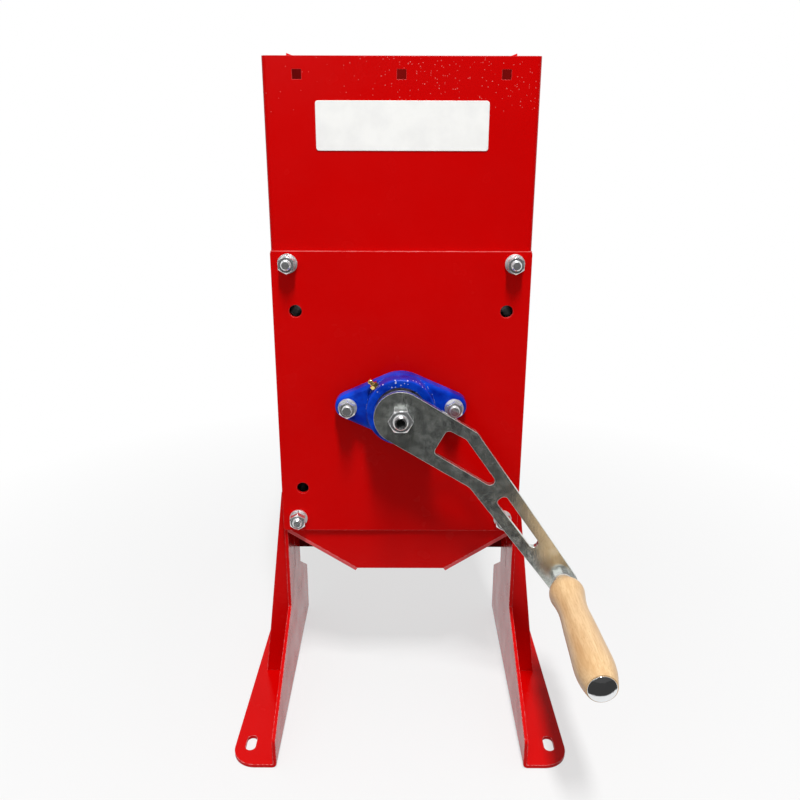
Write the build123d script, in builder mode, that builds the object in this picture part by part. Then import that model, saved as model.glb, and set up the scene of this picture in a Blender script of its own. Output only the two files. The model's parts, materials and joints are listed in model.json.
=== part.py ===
from build123d import *
import os
from math import atan2, cos, hypot, radians, sin, tan

# Crank nut cracker, in millimetres: +X to the operator's right, +Y away from the operator, +Z up.
# The origin is on the floor, in the plane of symmetry, midway between the front and rear plates.
# "Ahead" is the distance from the origin's plane towards the operator, along -Y.

# ---------------------------------------------------------------- driving sizes
SHEET = 3.0                # gauge of every bent or cut sheet
BODY_WIDTH = 212.0         # over the side walls
BODY_DEPTH = 75.0          # over the front and rear plates
AXIS_HEIGHT = 284.0        # shaft above the floor
PLATE_HEIGHT = 251.0       # front plate
PLATE_BOTTOM = 162.0       # its lower edge above the floor
PLATE_CORNER = 2.0
SHEET_GAP = 0.5            # between a sheet's edge and the wall that it slips inside

HOPPER_HEIGHT = 145.0      # rim above the plates' top edge
HOPPER_SKIRT = 23.0        # overlap of the hopper behind the plates
HOPPER_LEAN = 24.4         # degrees that the hopper's back leans away
HOPPER_BEND = 4.0          # outside radius of the hopper's upright bends
BACK_RISE = 9.0            # back wall above the rim, at its middle
EAR_RISE = 8.0             # raised corners of the back wall, above its middle
EAR_WIDTH = 21.0
RIM_HOLE = 7.0             # square holes near the rim
RIM_HOLE_DROP = 13.0
RIM_HOLE_PITCH = 79.5

TIE_INSET_X = 13.9         # corner bolts, from the front plate's edges
TIE_INSET_TOP = 9.8
TIE_INSET_BOTTOM = 12.5
TIE_RADIUS = 4.0           # M8
TIE_HOLE_PLAY = 0.5
SEAT_INSET_X = 18.7        # spare seats for the jaws: open holes in both plates
SEAT_SPREAD = 160.0
SEAT_RADIUS = 5.25
SHAFT_HOLE_RADIUS = 13.0   # in the plates

FRONT_REACH = 149.9        # toes of the legs, from the origin
REAR_REACH = 82.5
FRONT_TOE_TOP = 80.0       # where each toe leaves the column, and how high its tip is
FRONT_TOE_TIP = 27.0
REAR_TOE_TOP = 88.0
REAR_TOE_TIP = 56.0
TOE_CORNER = 4.0
FOOT_WIDTH = 36.0          # foot flange outside the side wall, at its front
FOOT_REAR_WIDTH = 32.0
FOOT_CORNER = 20.0
FOOT_BEND = 4.0            # outside radius of the foot's bend
FOOT_BEND_INSIDE = 1.0
FOOT_SLOT_LENGTH = 17.0
FOOT_SLOT_WIDTH = 8.6
FOOT_SLOT_INSET = 24.6     # from the foot's front and rear edges
FOOT_SLOT_OUT = 22.5       # from the side wall's outer face
SLIT_WIDTH = 1.5           # slit in each side wall, under the chute
SLIT_LENGTH = 56.0
GUSSET_HEIGHT = 192.4      # above the foot flange
GUSSET_SETBACK = 5.7       # from the column's front and rear edges
GUSSET_WIDTH = 25.0
GUSSET_TOP_WIDTH = 2.0

OUTLET_WIDTH = 80.0        # chute
OUTLET_DROP = 40.8         # below the front plate
CHUTE_SKIRT = 23.0         # overlap of the chute's front behind the front plate
REAR_SKIRT = 16.4          # rear plate below the outlet

DRUM_RADIUS = 48.0         # over the teeth
DRUM_TEETH = 12
TOOTH_DEPTH = 6.0
TOOTH_LAND = 2.5           # flat on each tooth's tip
DRUM_GROOVE_WIDTH = 5.0
DRUM_GROOVE_DEPTH = 7.0
DRUM_GROOVES = 3
END_PLAY = 0.5             # jaws and drum, from the sheets in front and behind
JAW_THICKNESS = 5.0
JAW_TOOTH_HEIGHT = 3.0
JAW_TOOTH_PITCH = 11.0
JAW_TOOTH_START = 1.0      # first tooth, from the jaw's bend
JAW_TEETH = 4              # above the shaft, and again below it
JAW_EYE_WALL = 3.0
NUT_GAP = 22.0             # narrowest gap between the teeth of drum and jaw
EYE_PLAY = 0.2

SHAFT_RADIUS = 10.0
SHAFT_TAIL = 3.0           # beyond the rear bearing
SHAFT_NECK_RADIUS = 8.0    # flatted neck that drives the arm
SHAFT_NECK_FLATS = 13.0
SHAFT_CHAMFER = 1.0
STUD_END_RADIUS = 6.0      # M12
STUD_END_OUT = 3.5         # thread beyond the nut
STUD_RECESS_RADIUS = 3.8   # turned into the stud's end
STUD_RECESS_DEPTH = 3.0
KEY_WIDTH = 6.0
KEY_LENGTH = 40.0
FIT = 0.02                 # pressed and clamped parts
SIDE_GAP = 0.3             # between faces that turn past each other
OVERRUN = 1.0              # that a cut runs past the surface that it opens

BEARING_PITCH = 90.0       # flange bolts
FLANGE_END_RADIUS = 10.8
FLANGE_RADIUS = 29.3
FLANGE_THICKNESS = 12.0
FLANGE_ROUND = 3.5         # rounded edge of the flange's face
FLANGE_HOLE_PLAY = 1.5
BOSS_RADIUS = 29.1
BOSS_DRAFT = 1.2           # degrees
HOUSING_HEIGHT = 25.5
HOUSING_ROUND = 1.5        # rounded edges of the housing's front rim
BALL_CENTRE = 15.0         # from the plate
BALL_RADIUS = 3.8
BALL_PITCH_RADIUS = 16.75
BALL_COUNT = 8
RACE_GROOVE_PLAY = 0.3
INNER_RING_RADIUS = 14.5
INNER_RING_SHORT = 12.7    # either side of the balls
INNER_RING_LONG = 18.3
OUTER_RING_RADIUS = 23.5
OUTER_RING_BORE = 19.0
OUTER_RING_WIDTH = 17.0
HOUSING_MOUTH = 21.8       # radius of the housing's opening
SEAL_THICKNESS = 1.2
SEAL_INSET = 0.6
GRUB_RADIUS = 3.0
GRUB_LENGTH = 5.5
GRUB_INSET = 4.6           # from the end of the inner ring's long side
NIPPLE_ANGLE = 136.0       # degrees, seen from the front
NIPPLE_FROM_PLATE = 17.0
NIPPLE_LENGTH = 9.0
NIPPLE_HEX = 7.0
NIPPLE_RADIUS = 2.4
NIPPLE_TAPER = 12.0        # degrees

ARM_THICKNESS = 5.0
ARM_HUB_RADIUS = 22.1
ARM_GAP = 0.2              # between the inner ring and the arm
CRANK_RADIUS = 203.0       # shaft to handle
CRANK_ANGLE = -46.4        # degrees at rest, seen from the front
ELBOW_OUTER = (62.9, -12.7)   # corners of the arm's elbow, from the shaft
ELBOW_INNER = (57.6, -61.3)
ELBOW_FILLET = 6.0
ARM_END_ANGLE = -54.4      # direction of the arm beyond its elbow
ARM_END_REACH = 13.0       # the arm's square end: beyond the handle, above it and below it
ARM_END_ABOVE = 11.2
ARM_END_BELOW = 13.8
ARM_END_CORNER = 5.0
WINDOW_FILLET = 4.0
SLOT_FILLET = 3.8
WINDOW = [(38.1, -9.9), (53.8, -18.4), (89.0, -68.8), (26.7, -30.3)]
SLOT_WINDOW = [(80.1, -74.3), (88.1, -68.5), (119.8, -114.3), (113.3, -119.0)]

AXLE_RADIUS = 4.0          # M8
AXLE_TAIL = 1.5
HEAD_RADIUS = 10.0         # dished head of the handle's axle
HEAD_THICKNESS = 3.6
HEAD_OUT = 1.0             # of its recess in the grip
HEAD_DISH = 1.2
HEAD_CHAMFER = 0.8
GRIP_LENGTH = 135.3
GRIP_BORE_PLAY = 0.08
GRIP_RADII = [(0.0, 5.8), (0.04, 9.3), (0.08, 13.0), (0.13, 14.8), (0.18, 14.0), (0.24, 12.8), (0.32, 12.1),
              (0.45, 12.8), (0.6, 13.7), (0.75, 14.6), (0.87, 14.8), (0.95, 13.2), (1.0, 11.4)]
#             share of the length and the radius there, from the arm outwards

M8_NUT = (13.0, 6.5)       # across flats, height
M12_NUT = (18.0, 10.0)
M8_HEAD = (13.0, 5.3)
WASHER_RADIUS = 8.0
WASHER_THICKNESS = 1.6
SPRING_WASHER_RADIUS = 7.0
SPRING_WASHER_THICKNESS = 2.0
SPRING_WASHER_CUT = 1.0
SPRING_WASHER_SKEW = 20.0  # degrees
BOLT_OUT = 3.0             # thread beyond the nut
NUT_CHAMFER = 0.8
NUT_CONE = 60.0            # degrees from the axis, of the cone that chamfers a nut's corners
NUT_TURN = 30.0            # degrees, the M8 nuts stand on a corner

# ---------------------------------------------------------------- worked out
half_width = BODY_WIDTH / 2
half_depth = BODY_DEPTH / 2
wall = half_width - SHEET                 # inner faces of the side walls
inner_half = half_depth - SHEET           # inner faces of the plates
plate_top = PLATE_BOTTOM + PLATE_HEIGHT
rim = plate_top + HOPPER_HEIGHT
tie_x = half_width - TIE_INSET_X
tie_heights = (plate_top - TIE_INSET_TOP, PLATE_BOTTOM + TIE_INSET_BOTTOM)
seat_x = half_width - SEAT_INSET_X
seat_heights = (AXIS_HEIGHT + SEAT_SPREAD / 2, AXIS_HEIGHT - SEAT_SPREAD / 2)
tie_spots = [(x, z) for x in (-tie_x, tie_x) for z in tie_heights]
seat_spots = [(x, z) for x in (-seat_x, seat_x) for z in seat_heights]
flange_spots = [(x, AXIS_HEIGHT) for x in (-BEARING_PITCH / 2, BEARING_PITCH / 2)]
working_half = inner_half - SHEET - END_PLAY    # ends of jaws and drum
outlet_half = OUTLET_WIDTH / 2
outlet_height = PLATE_BOTTOM - OUTLET_DROP
rear_bottom = outlet_height - REAR_SKIRT
slope_angle = atan2(OUTLET_DROP, wall - outlet_half)
slope_rise = SHEET / cos(slope_angle)
foot_outline = [(wall, -FRONT_REACH), (half_width + FOOT_WIDTH, -FRONT_REACH),
                (half_width + FOOT_REAR_WIDTH, REAR_REACH), (wall, REAR_REACH)]
ring_end = half_depth + BALL_CENTRE + INNER_RING_LONG
arm_back = ring_end + ARM_GAP
arm_front = arm_back + ARM_THICKNESS
handle_x = CRANK_RADIUS * cos(radians(CRANK_ANGLE))
handle_z = AXIS_HEIGHT + CRANK_RADIUS * sin(radians(CRANK_ANGLE))
ball_ahead = half_depth + BALL_CENTRE

# Sketch planes whose X runs ahead and whose Y is the radius, for turned parts
SHAFT_PLANE = Plane(origin=(0, 0, AXIS_HEIGHT), x_dir=(0, -1, 0), z_dir=(-1, 0, 0))
SHAFT_AXIS = Axis((0, 0, AXIS_HEIGHT), (0, -1, 0))
HANDLE_PLANE = Plane(origin=(handle_x, 0, handle_z), x_dir=(0, -1, 0), z_dir=(-1, 0, 0))
HANDLE_AXIS = Axis((handle_x, 0, handle_z), (0, -1, 0))

os.makedirs("parts", exist_ok=True)


def save(builder, name):
    """Label a finished piece and write it under its own name."""
    builder.part.label = name
    export_step(builder.part, f"parts/{name}.step")


def ahead(distance):
    """Sketch plane facing the operator, with X to the right and Y up."""
    return Plane.XZ.offset(distance)


def turned(axis, start, stop, radius, bore=0.0, mode=Mode.ADD):
    """Plain ring or rod on a turned axis, inside a BuildPart block, from start to stop ahead."""
    centre = axis.position
    with BuildSketch(Plane(origin=(centre.X, -start, centre.Z), x_dir=(1, 0, 0), z_dir=(0, -1, 0))) as face:
        Circle(radius)
        if bore:
            Circle(bore, mode=Mode.SUBTRACT)
    extrude(face.sketch, amount=stop - start, mode=mode)


def bent_strip(points, thickness):
    """Outline of a strip of one thickness along straight runs, with mitred bends."""
    near_side, far_side = [], []
    for index, (x, y) in enumerate(points):
        runs = [(points[i], points[i + 1]) for i in (index - 1, index) if 0 <= i < len(points) - 1]
        normals = [((a[1] - b[1]) / hypot(b[0] - a[0], b[1] - a[1]),
                    (b[0] - a[0]) / hypot(b[0] - a[0], b[1] - a[1])) for a, b in runs]
        across = Vector(sum(n[0] for n in normals), sum(n[1] for n in normals)) / len(normals)
        reach = across * (thickness / 2 / across.length ** 2)
        near_side.append((x + reach.X, y + reach.Y))
        far_side.append((x - reach.X, y - reach.Y))
    return near_side + far_side[::-1]


def hex_nut(start, size, bore, turn=0.0):
    """Hexagon nut on the Y axis, its rear face at start ahead, its front corners chamfered."""
    across_flats, height = size
    with BuildPart() as nut:
        with BuildSketch(ahead(start)):
            RegularPolygon(across_flats / 2, 6, major_radius=False, rotation=turn)
            Circle(bore, mode=Mode.SUBTRACT)
        extrude(amount=height)
        with BuildSketch(ahead(start)):
            Circle(across_flats / 2 - NUT_CHAMFER / 2 + height * tan(radians(NUT_CONE)))
        extrude(amount=height, taper=NUT_CONE, mode=Mode.INTERSECT)
    return nut.part


def washer(start, radius, thickness, bore=0.0):
    """Flat ring on the Y axis, or a plain rod without a bore, its rear face at start ahead."""
    with BuildPart() as ring:
        with BuildSketch(ahead(start)):
            Circle(radius)
            if bore:
                Circle(bore, mode=Mode.SUBTRACT)
        extrude(amount=thickness)
    return ring.part


def split_washer(start):
    """Spring washer on the Y axis, cut open at its top."""
    with BuildPart() as ring:
        with BuildSketch(ahead(start)):
            Circle(SPRING_WASHER_RADIUS)
            Circle(TIE_RADIUS + FIT, mode=Mode.SUBTRACT)
            with Locations((0, SPRING_WASHER_RADIUS)):
                Rectangle(SPRING_WASHER_CUT, 2 * SPRING_WASHER_RADIUS, rotation=SPRING_WASHER_SKEW,
                          mode=Mode.SUBTRACT)
        extrude(amount=SPRING_WASHER_THICKNESS)
    return ring.part


def copies(shape, spots):
    """Separate copies of a fastener at each (X, Z) spot."""
    with BuildPart() as group:
        with Locations(*[(x, 0, z) for x, z in spots]):
            add(shape)
    return group


def rear_copy(front):
    """The same piece at the rear, mirrored through the plane midway between the plates."""
    with BuildPart() as rear:
        mirror(front.part, about=Plane.XZ)
    return rear


# ---------------------------------------------------------------- legs
leg_outline = [                  # side wall and leg in one sheet: a column with two toes, (Y, Z)
    (-inner_half, plate_top),
    (-inner_half, FRONT_TOE_TOP),
    (-FRONT_REACH, FRONT_TOE_TIP),
    (-FRONT_REACH, 0),
    (REAR_REACH, 0),
    (REAR_REACH, REAR_TOE_TIP),
    (inner_half, REAR_TOE_TOP),
    (inner_half, plate_top),
]
slit_top = PLATE_BOTTOM - slope_rise - SHEET_GAP
slot_spots = [(half_width + FOOT_SLOT_OUT, -FRONT_REACH + FOOT_SLOT_INSET),
              (half_width + FOOT_SLOT_OUT, REAR_REACH - FOOT_SLOT_INSET)]

with BuildPart() as leg_right:
    with BuildSketch(Plane.YZ.offset(wall)):
        Polygon(*leg_outline, align=None)
        with Locations((0, slit_top - SLIT_LENGTH / 2)):
            Rectangle(SLIT_WIDTH, SLIT_LENGTH, mode=Mode.SUBTRACT)
    extrude(amount=SHEET)
    toe_corners = leg_right.edges().filter_by(Axis.X).filter_by(lambda e: e.center().Z > SHEET)
    fillet(toe_corners.filter_by(lambda e: abs(e.center().Y) > half_depth), TOE_CORNER)
    with BuildSketch():
        Polygon(*foot_outline, align=None)
        with Locations(*slot_spots):
            SlotOverall(FOOT_SLOT_LENGTH, FOOT_SLOT_WIDTH, rotation=90, mode=Mode.SUBTRACT)
    extrude(amount=SHEET)
    along_foot = leg_right.edges().filter_by(Axis.Y).filter_by(lambda e: e.length > REAR_REACH)
    fillet(along_foot.filter_by(lambda e: e.center().X < wall + FIT and e.center().Z < FIT), FOOT_BEND)
    inside_bend = leg_right.edges().filter_by(Axis.Y).filter_by(lambda e: e.length > REAR_REACH)
    fillet(inside_bend.filter_by(lambda e: abs(e.center().X - half_width) < FIT
                                 and abs(e.center().Z - SHEET) < FIT), FOOT_BEND_INSIDE)
    foot_corners = leg_right.edges().filter_by(Axis.Z).filter_by(
        lambda e: e.center().X > half_width + FOOT_REAR_WIDTH - FIT)
    fillet(foot_corners, FOOT_CORNER)
save(leg_right, "leg_right")

with BuildPart() as leg_left:
    mirror(leg_right.part, about=Plane.YZ)
save(leg_left, "leg_left")


def gusset(side, plane):
    """Upright stiffener between the foot flange and the side wall."""
    notch = FOOT_BEND_INSIDE + SHEET_GAP
    with BuildPart() as stiffener:
        with BuildSketch(plane):
            with BuildLine():
                Polyline(
                    (side * half_width, SHEET + notch),
                    (side * (half_width + notch), SHEET),
                    (side * (half_width + GUSSET_WIDTH), SHEET),
                    (side * (half_width + GUSSET_TOP_WIDTH), SHEET + GUSSET_HEIGHT),
                    (side * half_width, SHEET + GUSSET_HEIGHT),
                    close=True,
                )
            make_face()
        extrude(amount=SHEET)
    return stiffener


for side, side_name in ((-1, "left"), (1, "right")):
    for plane, end_name in ((ahead(inner_half - GUSSET_SETBACK - SHEET), "front"),
                            (ahead(-inner_half + GUSSET_SETBACK), "rear")):
        save(gusset(side, plane), f"gusset_{end_name}_{side_name}")


# ---------------------------------------------------------------- plates
def plate_holes():
    """Holes that the front and rear plates share."""
    with Locations(*tie_spots):
        Circle(TIE_RADIUS + TIE_HOLE_PLAY, mode=Mode.SUBTRACT)
    with Locations(*seat_spots):
        Circle(SEAT_RADIUS, mode=Mode.SUBTRACT)
    with Locations(*flange_spots):
        Circle(TIE_RADIUS + FIT, mode=Mode.SUBTRACT)
    with Locations((0, AXIS_HEIGHT)):
        Circle(SHAFT_HOLE_RADIUS, mode=Mode.SUBTRACT)


def face_plate(back_ahead, bottom):
    """Flat plate with rounded corners, between bottom and the plates' top edge."""
    with BuildPart() as plate:
        with BuildSketch(ahead(back_ahead)):
            with Locations((0, (bottom + plate_top) / 2)):
                RectangleRounded(BODY_WIDTH, plate_top - bottom, PLATE_CORNER)
            plate_holes()
        extrude(amount=SHEET)
    return plate


save(face_plate(inner_half, PLATE_BOTTOM), "front_plate")
save(face_plate(-half_depth, rear_bottom), "rear_plate")

# ---------------------------------------------------------------- hopper
lean = radians(HOPPER_LEAN)
back_bend = (inner_half - SHEET / 2, plate_top + SHEET / 2)      # middle of the sheet, (Y, Z)
back_height = rim + BACK_RISE + EAR_RISE - back_bend[1]
back_end = (back_bend[0] + back_height * tan(lean), back_bend[1] + back_height)
# a point on the back wall's inner face, and the slope of that face
inner_face = (back_bend[0] - SHEET / 2 * cos(lean), back_bend[1] + SHEET / 2 * sin(lean))


def inner_face_y(z):
    """Depth of the leaning wall's inner face at a height."""
    return inner_face[0] + (z - inner_face[1]) * tan(lean)


with BuildPart() as hopper:
    with BuildSketch(Plane.XY.offset(plate_top)):
        with BuildLine():
            FilletPolyline(
                (-wall - SHEET / 2, inner_face_y(rim)),
                (-wall - SHEET / 2, -inner_half + SHEET / 2),
                (wall + SHEET / 2, -inner_half + SHEET / 2),
                (wall + SHEET / 2, inner_face_y(rim)),
                radius=HOPPER_BEND - SHEET / 2,
            )
        trace(line_width=SHEET)
    extrude(amount=HOPPER_HEIGHT)
    with BuildSketch(Plane.YZ):
        with BuildLine():
            Polyline(
                (inner_face_y(plate_top), plate_top),
                (inner_face_y(rim), rim),
                (inner_face_y(rim) + BODY_DEPTH, rim),
                (inner_face_y(rim) + BODY_DEPTH, plate_top),
                close=True,
            )
        make_face()
    extrude(amount=BODY_WIDTH, both=True, mode=Mode.SUBTRACT)
    with BuildSketch(ahead(inner_half - SHEET)):
        with Locations((0, plate_top - HOPPER_SKIRT / 2)):
            Rectangle(2 * (wall - SHEET_GAP), HOPPER_SKIRT)
    extrude(amount=SHEET)
    with BuildSketch(ahead(inner_half - SHEET)):
        with Locations(*[(x, rim - RIM_HOLE_DROP) for x in (-RIM_HOLE_PITCH, 0, RIM_HOLE_PITCH)]):
            Rectangle(RIM_HOLE, RIM_HOLE)
        with Locations(*tie_spots):
            Circle(TIE_RADIUS + TIE_HOLE_PLAY)
    extrude(amount=SHEET, mode=Mode.SUBTRACT)
save(hopper, "hopper")

with BuildPart() as hopper_back:
    with BuildSketch(Plane.YZ):
        skirt_end = (back_bend[0], plate_top - HOPPER_SKIRT)
        Polygon(*bent_strip([skirt_end, back_bend, back_end], SHEET), align=None)
    extrude(amount=half_width, both=True)
    # the skirt slips between the side walls
    with BuildSketch(ahead(-half_depth)):
        for side in (-1, 1):
            with Locations((side * (wall - SHEET_GAP + half_width / 2), plate_top - HOPPER_SKIRT)):
                Rectangle(half_width, 2 * HOPPER_SKIRT)
    extrude(amount=BODY_DEPTH, mode=Mode.SUBTRACT)
    # the top edge dips between two raised corners
    with BuildSketch(ahead(-inner_face_y(rim) - BODY_DEPTH)):
        with BuildLine():
            Polyline(
                (-half_width, rim + BACK_RISE + EAR_RISE),
                (-half_width + EAR_WIDTH, rim + BACK_RISE),
                (half_width - EAR_WIDTH, rim + BACK_RISE),
                (half_width, rim + BACK_RISE + EAR_RISE),
                (half_width, rim + BACK_RISE + 2 * EAR_RISE),
                (-half_width, rim + BACK_RISE + 2 * EAR_RISE),
                close=True,
            )
        make_face()
    extrude(amount=2 * BODY_DEPTH, mode=Mode.SUBTRACT)
    with BuildSketch(ahead(-half_depth)):
        with Locations(*tie_spots):
            Circle(TIE_RADIUS + TIE_HOLE_PLAY)
    extrude(amount=BODY_DEPTH, mode=Mode.SUBTRACT)
save(hopper_back, "hopper_back")

# ---------------------------------------------------------------- chute
with BuildPart() as chute_front:
    with BuildSketch(ahead(inner_half - SHEET)):
        with BuildLine():
            Polyline(
                (-wall + SHEET_GAP, PLATE_BOTTOM + CHUTE_SKIRT),
                (-wall + SHEET_GAP, PLATE_BOTTOM - SHEET_GAP * tan(slope_angle)),
                (-outlet_half, outlet_height),
                (outlet_half, outlet_height),
                (wall - SHEET_GAP, PLATE_BOTTOM - SHEET_GAP * tan(slope_angle)),
                (wall - SHEET_GAP, PLATE_BOTTOM + CHUTE_SKIRT),
                close=True,
            )
        make_face()
        with Locations(*tie_spots):
            Circle(TIE_RADIUS + TIE_HOLE_PLAY, mode=Mode.SUBTRACT)
    extrude(amount=SHEET)
save(chute_front, "chute_front")


def chute_slope(side):
    """Sloping floor plate, from the side wall down to the outlet, under the edge of the chute's front."""
    end_x = outlet_half + SHEET * sin(slope_angle)
    end_z = outlet_height - SHEET * cos(slope_angle)
    with BuildPart() as slope:
        with BuildSketch(ahead(-inner_half)):
            with BuildLine():
                Polyline(
                    (side * wall, PLATE_BOTTOM),
                    (side * outlet_half, outlet_height),
                    (side * end_x, end_z),
                    (side * wall, PLATE_BOTTOM - slope_rise),
                    close=True,
                )
            make_face()
        extrude(amount=2 * inner_half)
    return slope


save(chute_slope(-1), "chute_slope_left")
save(chute_slope(1), "chute_slope_right")

# ---------------------------------------------------------------- jaws
jaw_middle = (DRUM_RADIUS + NUT_GAP + JAW_TOOTH_HEIGHT + JAW_THICKNESS / 2, AXIS_HEIGHT)
jaw_eyes = [(tie_x, z) for z in tie_heights]
jaw_seats = [(seat_x, z) for z in seat_heights]


def jaw_tooth(level, direction):
    """Ridge on the jaw's face, level above (1) or below (-1) the shaft, pointing at the drum."""
    seat = (seat_x, AXIS_HEIGHT + direction * SEAT_SPREAD / 2)
    length = hypot(seat[0] - jaw_middle[0], seat[1] - jaw_middle[1])
    along = ((seat[0] - jaw_middle[0]) / length, (seat[1] - jaw_middle[1]) / length)
    inwards = (-abs(along[1]), direction * along[0])
    start = JAW_TOOTH_START + level * JAW_TOOTH_PITCH
    root = [(jaw_middle[0] + along[0] * s + inwards[0] * JAW_THICKNESS / 2,
             jaw_middle[1] + along[1] * s + inwards[1] * JAW_THICKNESS / 2)
            for s in (start, start + JAW_TOOTH_PITCH)]
    tip = ((root[0][0] + root[1][0]) / 2 + inwards[0] * JAW_TOOTH_HEIGHT,
           (root[0][1] + root[1][1]) / 2 + inwards[1] * JAW_TOOTH_HEIGHT)
    middle = (jaw_middle[0] + along[0] * (start + JAW_TOOTH_PITCH / 2),
              jaw_middle[1] + along[1] * (start + JAW_TOOTH_PITCH / 2))
    Polygon(root[0], tip, root[1], middle, align=None)


with BuildPart() as jaw_right:
    with BuildSketch(ahead(-working_half)):
        centre_line = [jaw_eyes[0], jaw_seats[0], jaw_middle, jaw_seats[1], jaw_eyes[1]]
        Polygon(*bent_strip(centre_line, JAW_THICKNESS), align=None)
        for direction in (-1, 1):
            for level in range(JAW_TEETH):
                jaw_tooth(level, direction)
        with Locations(*jaw_eyes):
            Circle(TIE_RADIUS + JAW_EYE_WALL)
        with Locations(*jaw_seats):
            Circle(SEAT_RADIUS + JAW_EYE_WALL)
        with Locations(*jaw_eyes):
            Circle(TIE_RADIUS + EYE_PLAY, mode=Mode.SUBTRACT)
        with Locations(*jaw_seats):
            Circle(SEAT_RADIUS, mode=Mode.SUBTRACT)
    extrude(amount=2 * working_half)
save(jaw_right, "jaw_right")

with BuildPart() as jaw_left:
    mirror(jaw_right.part, about=Plane.YZ)
save(jaw_left, "jaw_left")

# ---------------------------------------------------------------- corner bolts
stack_front = half_depth + WASHER_THICKNESS
nut_seat = stack_front + SPRING_WASHER_THICKNESS
head_seat = -half_depth - WASHER_THICKNESS

with BuildPart() as one_tie_bolt:
    with BuildSketch(ahead(head_seat - M8_HEAD[1])):
        RegularPolygon(M8_HEAD[0] / 2, 6, major_radius=False, rotation=NUT_TURN)
    extrude(amount=M8_HEAD[1])
    with BuildSketch(ahead(head_seat)):
        Circle(TIE_RADIUS)
    extrude(amount=nut_seat + M8_NUT[1] + BOLT_OUT - head_seat)
    chamfer(one_tie_bolt.faces().sort_by(Axis.Y)[0].edges(), NUT_CHAMFER)
save(copies(one_tie_bolt.part, tie_spots), "tie_bolts")
save(copies(washer(half_depth, WASHER_RADIUS, WASHER_THICKNESS, TIE_RADIUS + TIE_HOLE_PLAY), tie_spots),
     "tie_front_washers")
save(copies(washer(head_seat, WASHER_RADIUS, WASHER_THICKNESS, TIE_RADIUS + TIE_HOLE_PLAY), tie_spots),
     "tie_rear_washers")
save(copies(split_washer(stack_front), tie_spots), "tie_spring_washers")
save(copies(hex_nut(nut_seat, M8_NUT, TIE_RADIUS + FIT, NUT_TURN), tie_spots), "tie_nuts")

# ---------------------------------------------------------------- flange bearings
nipple_angle = radians(NIPPLE_ANGLE)
nipple_out = Vector(cos(nipple_angle), 0, sin(nipple_angle))
nipple_centre = Vector(0, -half_depth - NIPPLE_FROM_PLATE, AXIS_HEIGHT)
nipple_seat = BOSS_RADIUS - NIPPLE_FROM_PLATE * tan(radians(BOSS_DRAFT))


def radial_plane(distance):
    """Sketch plane across the grease nipple, at a distance from the shaft's axis."""
    return Plane(origin=nipple_centre + nipple_out * distance, x_dir=(0, 1, 0), z_dir=nipple_out)


with BuildPart() as front_bearing_housing:
    with BuildSketch(ahead(half_depth)):
        with BuildLine():
            for x, z in flange_spots:
                CenterArc((x, z), FLANGE_END_RADIUS, 0, 360)
            CenterArc((0, AXIS_HEIGHT), FLANGE_RADIUS, 0, 360)
        make_hull()
    extrude(amount=FLANGE_THICKNESS)
    rim_edges = front_bearing_housing.faces().sort_by(Axis.Y)[0].edges()
    fillet(rim_edges, FLANGE_ROUND)
    with BuildSketch(ahead(half_depth)):
        with Locations((0, AXIS_HEIGHT)):
            Circle(BOSS_RADIUS)
    extrude(amount=HOUSING_HEIGHT, taper=BOSS_DRAFT)
    fillet(front_bearing_housing.faces().sort_by(Axis.Y)[0].edges(), HOUSING_ROUND)
    turned(SHAFT_AXIS, half_depth - FIT, half_depth + HOUSING_HEIGHT + FIT, HOUSING_MOUTH, mode=Mode.SUBTRACT)
    with Locations((0, -ball_ahead, AXIS_HEIGHT)):
        Sphere(OUTER_RING_RADIUS + FIT, mode=Mode.SUBTRACT)
    with BuildSketch(ahead(half_depth)):
        with Locations(*flange_spots):
            Circle(TIE_RADIUS + FLANGE_HOLE_PLAY)
    extrude(amount=FLANGE_THICKNESS, mode=Mode.SUBTRACT)
    with BuildSketch(radial_plane(OUTER_RING_RADIUS - OVERRUN)):
        Circle(NIPPLE_RADIUS)
    extrude(amount=BOSS_RADIUS - OUTER_RING_RADIUS + 2 * OVERRUN, mode=Mode.SUBTRACT)
save(front_bearing_housing, "front_bearing_housing")
save(rear_copy(front_bearing_housing), "rear_bearing_housing")

with BuildPart() as front_outer_ring:
    with BuildSketch(SHAFT_PLANE):
        with Locations((ball_ahead, 0)):
            Circle(OUTER_RING_RADIUS)
            with Locations((0, (OUTER_RING_BORE + OUTER_RING_RADIUS) / 2)):
                Rectangle(OUTER_RING_WIDTH, OUTER_RING_RADIUS - OUTER_RING_BORE, mode=Mode.INTERSECT)
            with Locations((0, BALL_PITCH_RADIUS)):
                Circle(BALL_RADIUS + RACE_GROOVE_PLAY, mode=Mode.SUBTRACT)
    revolve(axis=SHAFT_AXIS)
save(front_outer_ring, "front_outer_ring")
save(rear_copy(front_outer_ring), "rear_outer_ring")

with BuildPart() as front_balls:
    with Locations(Plane(origin=(0, -ball_ahead, AXIS_HEIGHT), x_dir=(1, 0, 0), z_dir=(0, -1, 0))):
        with PolarLocations(BALL_PITCH_RADIUS, BALL_COUNT):
            Sphere(BALL_RADIUS)
save(front_balls, "front_balls")
save(rear_copy(front_balls), "rear_balls")

seal_out = OUTER_RING_WIDTH / 2 - SEAL_INSET - SEAL_THICKNESS
with BuildPart() as front_seals:
    for start in (ball_ahead - seal_out - SEAL_THICKNESS, ball_ahead + seal_out):
        turned(SHAFT_AXIS, start, start + SEAL_THICKNESS, OUTER_RING_BORE - FIT, INNER_RING_RADIUS + SIDE_GAP)
save(front_seals, "front_seals")
save(rear_copy(front_seals), "rear_seals")

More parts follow.
